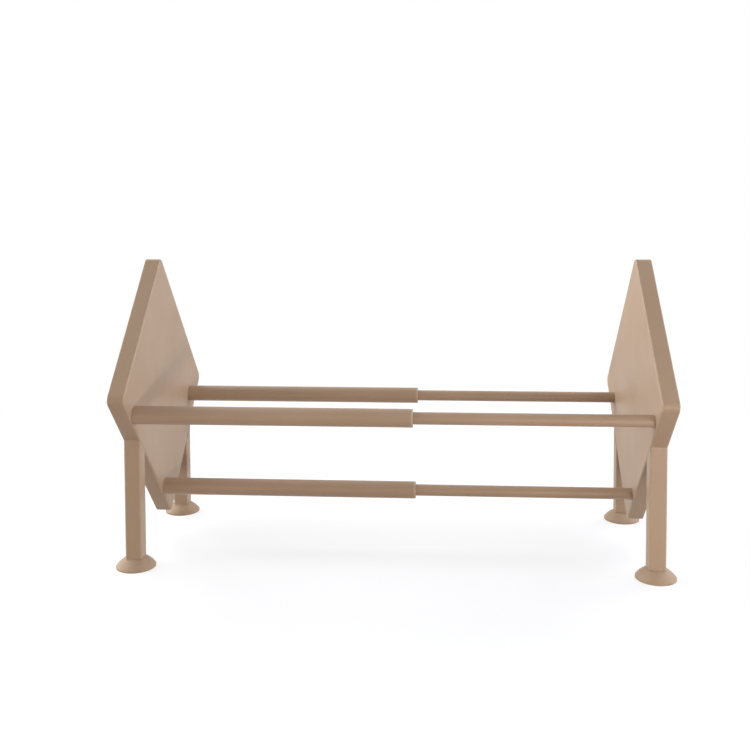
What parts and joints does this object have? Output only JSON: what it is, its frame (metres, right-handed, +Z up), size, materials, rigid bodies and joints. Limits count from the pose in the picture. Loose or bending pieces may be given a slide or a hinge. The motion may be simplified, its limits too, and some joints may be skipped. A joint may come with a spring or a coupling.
{
  "type": "desktop bookshelf",
  "caption": "Sloping desktop book rack of two end panels on legs, joined by telescoping rails so that it slides wider or narrower.",
  "frame": {"origin": "centre of the bounding box on the desk plane, under the middle of the shelf at the stored width", "axes": "+X along the shelf to the right, +Y from front to back, +Z up"},
  "size_m": [0.563, 0.2832, 0.3105],
  "materials": {
    "panel_plastic": "satin moulded plastic, warm cream",
    "leg_plastic": "satin moulded plastic, warm cream",
    "rail_tube": "steel tube, powder coated in warm cream",
    "guide_plastic": "smooth slippery plastic, pale cream",
    "insert_plastic": "plain moulded plastic, pale cream",
    "foot_rubber": "soft matt rubber, cream",
    "screw_steel": "zinc plated steel"
  },
  "bodies": {
    "left_half": {"left_panel_shell": "panel_plastic", "left_panel_cover": "panel_plastic", "left_rail_screws": "screw_steel", "left_screw_caps": "panel_plastic", "left_front_leg": "leg_plastic", "left_rear_leg": "leg_plastic", "left_front_tenon": "insert_plastic", "left_rear_tenon": "insert_plastic", "left_front_foot_plug": "insert_plastic", "left_rear_foot_plug": "insert_plastic", "left_front_foot": "foot_rubber", "left_rear_foot": "foot_rubber", "front_sleeve": "rail_tube", "bottom_sleeve": "rail_tube", "back_sleeve": "rail_tube", "front_bush": "guide_plastic", "bottom_bush": "guide_plastic", "back_bush": "guide_plastic", "front_sleeve_plug": "insert_plastic", "bottom_sleeve_plug": "insert_plastic", "back_sleeve_plug": "insert_plastic"},
    "right_half": {"right_panel_shell": "panel_plastic", "right_panel_cover": "panel_plastic", "right_rail_screws": "screw_steel", "right_screw_caps": "panel_plastic", "right_front_leg": "leg_plastic", "right_rear_leg": "leg_plastic", "right_front_tenon": "insert_plastic", "right_rear_tenon": "insert_plastic", "right_front_foot_plug": "insert_plastic", "right_rear_foot_plug": "insert_plastic", "right_front_foot": "foot_rubber", "right_rear_foot": "foot_rubber", "front_rod": "rail_tube", "bottom_rod": "rail_tube", "back_rod": "rail_tube", "front_stop_cap": "guide_plastic", "bottom_stop_cap": "guide_plastic", "back_stop_cap": "guide_plastic", "front_rod_plug": "insert_plastic", "bottom_rod_plug": "insert_plastic", "back_rod_plug": "insert_plastic"}
  },
  "joints": [
    {"name": "width_slide", "type": "slide", "parent": "left_half", "child": "right_half", "axis": [1, 0, 0], "range_m": [-0.22, 0.01]}
  ]
}
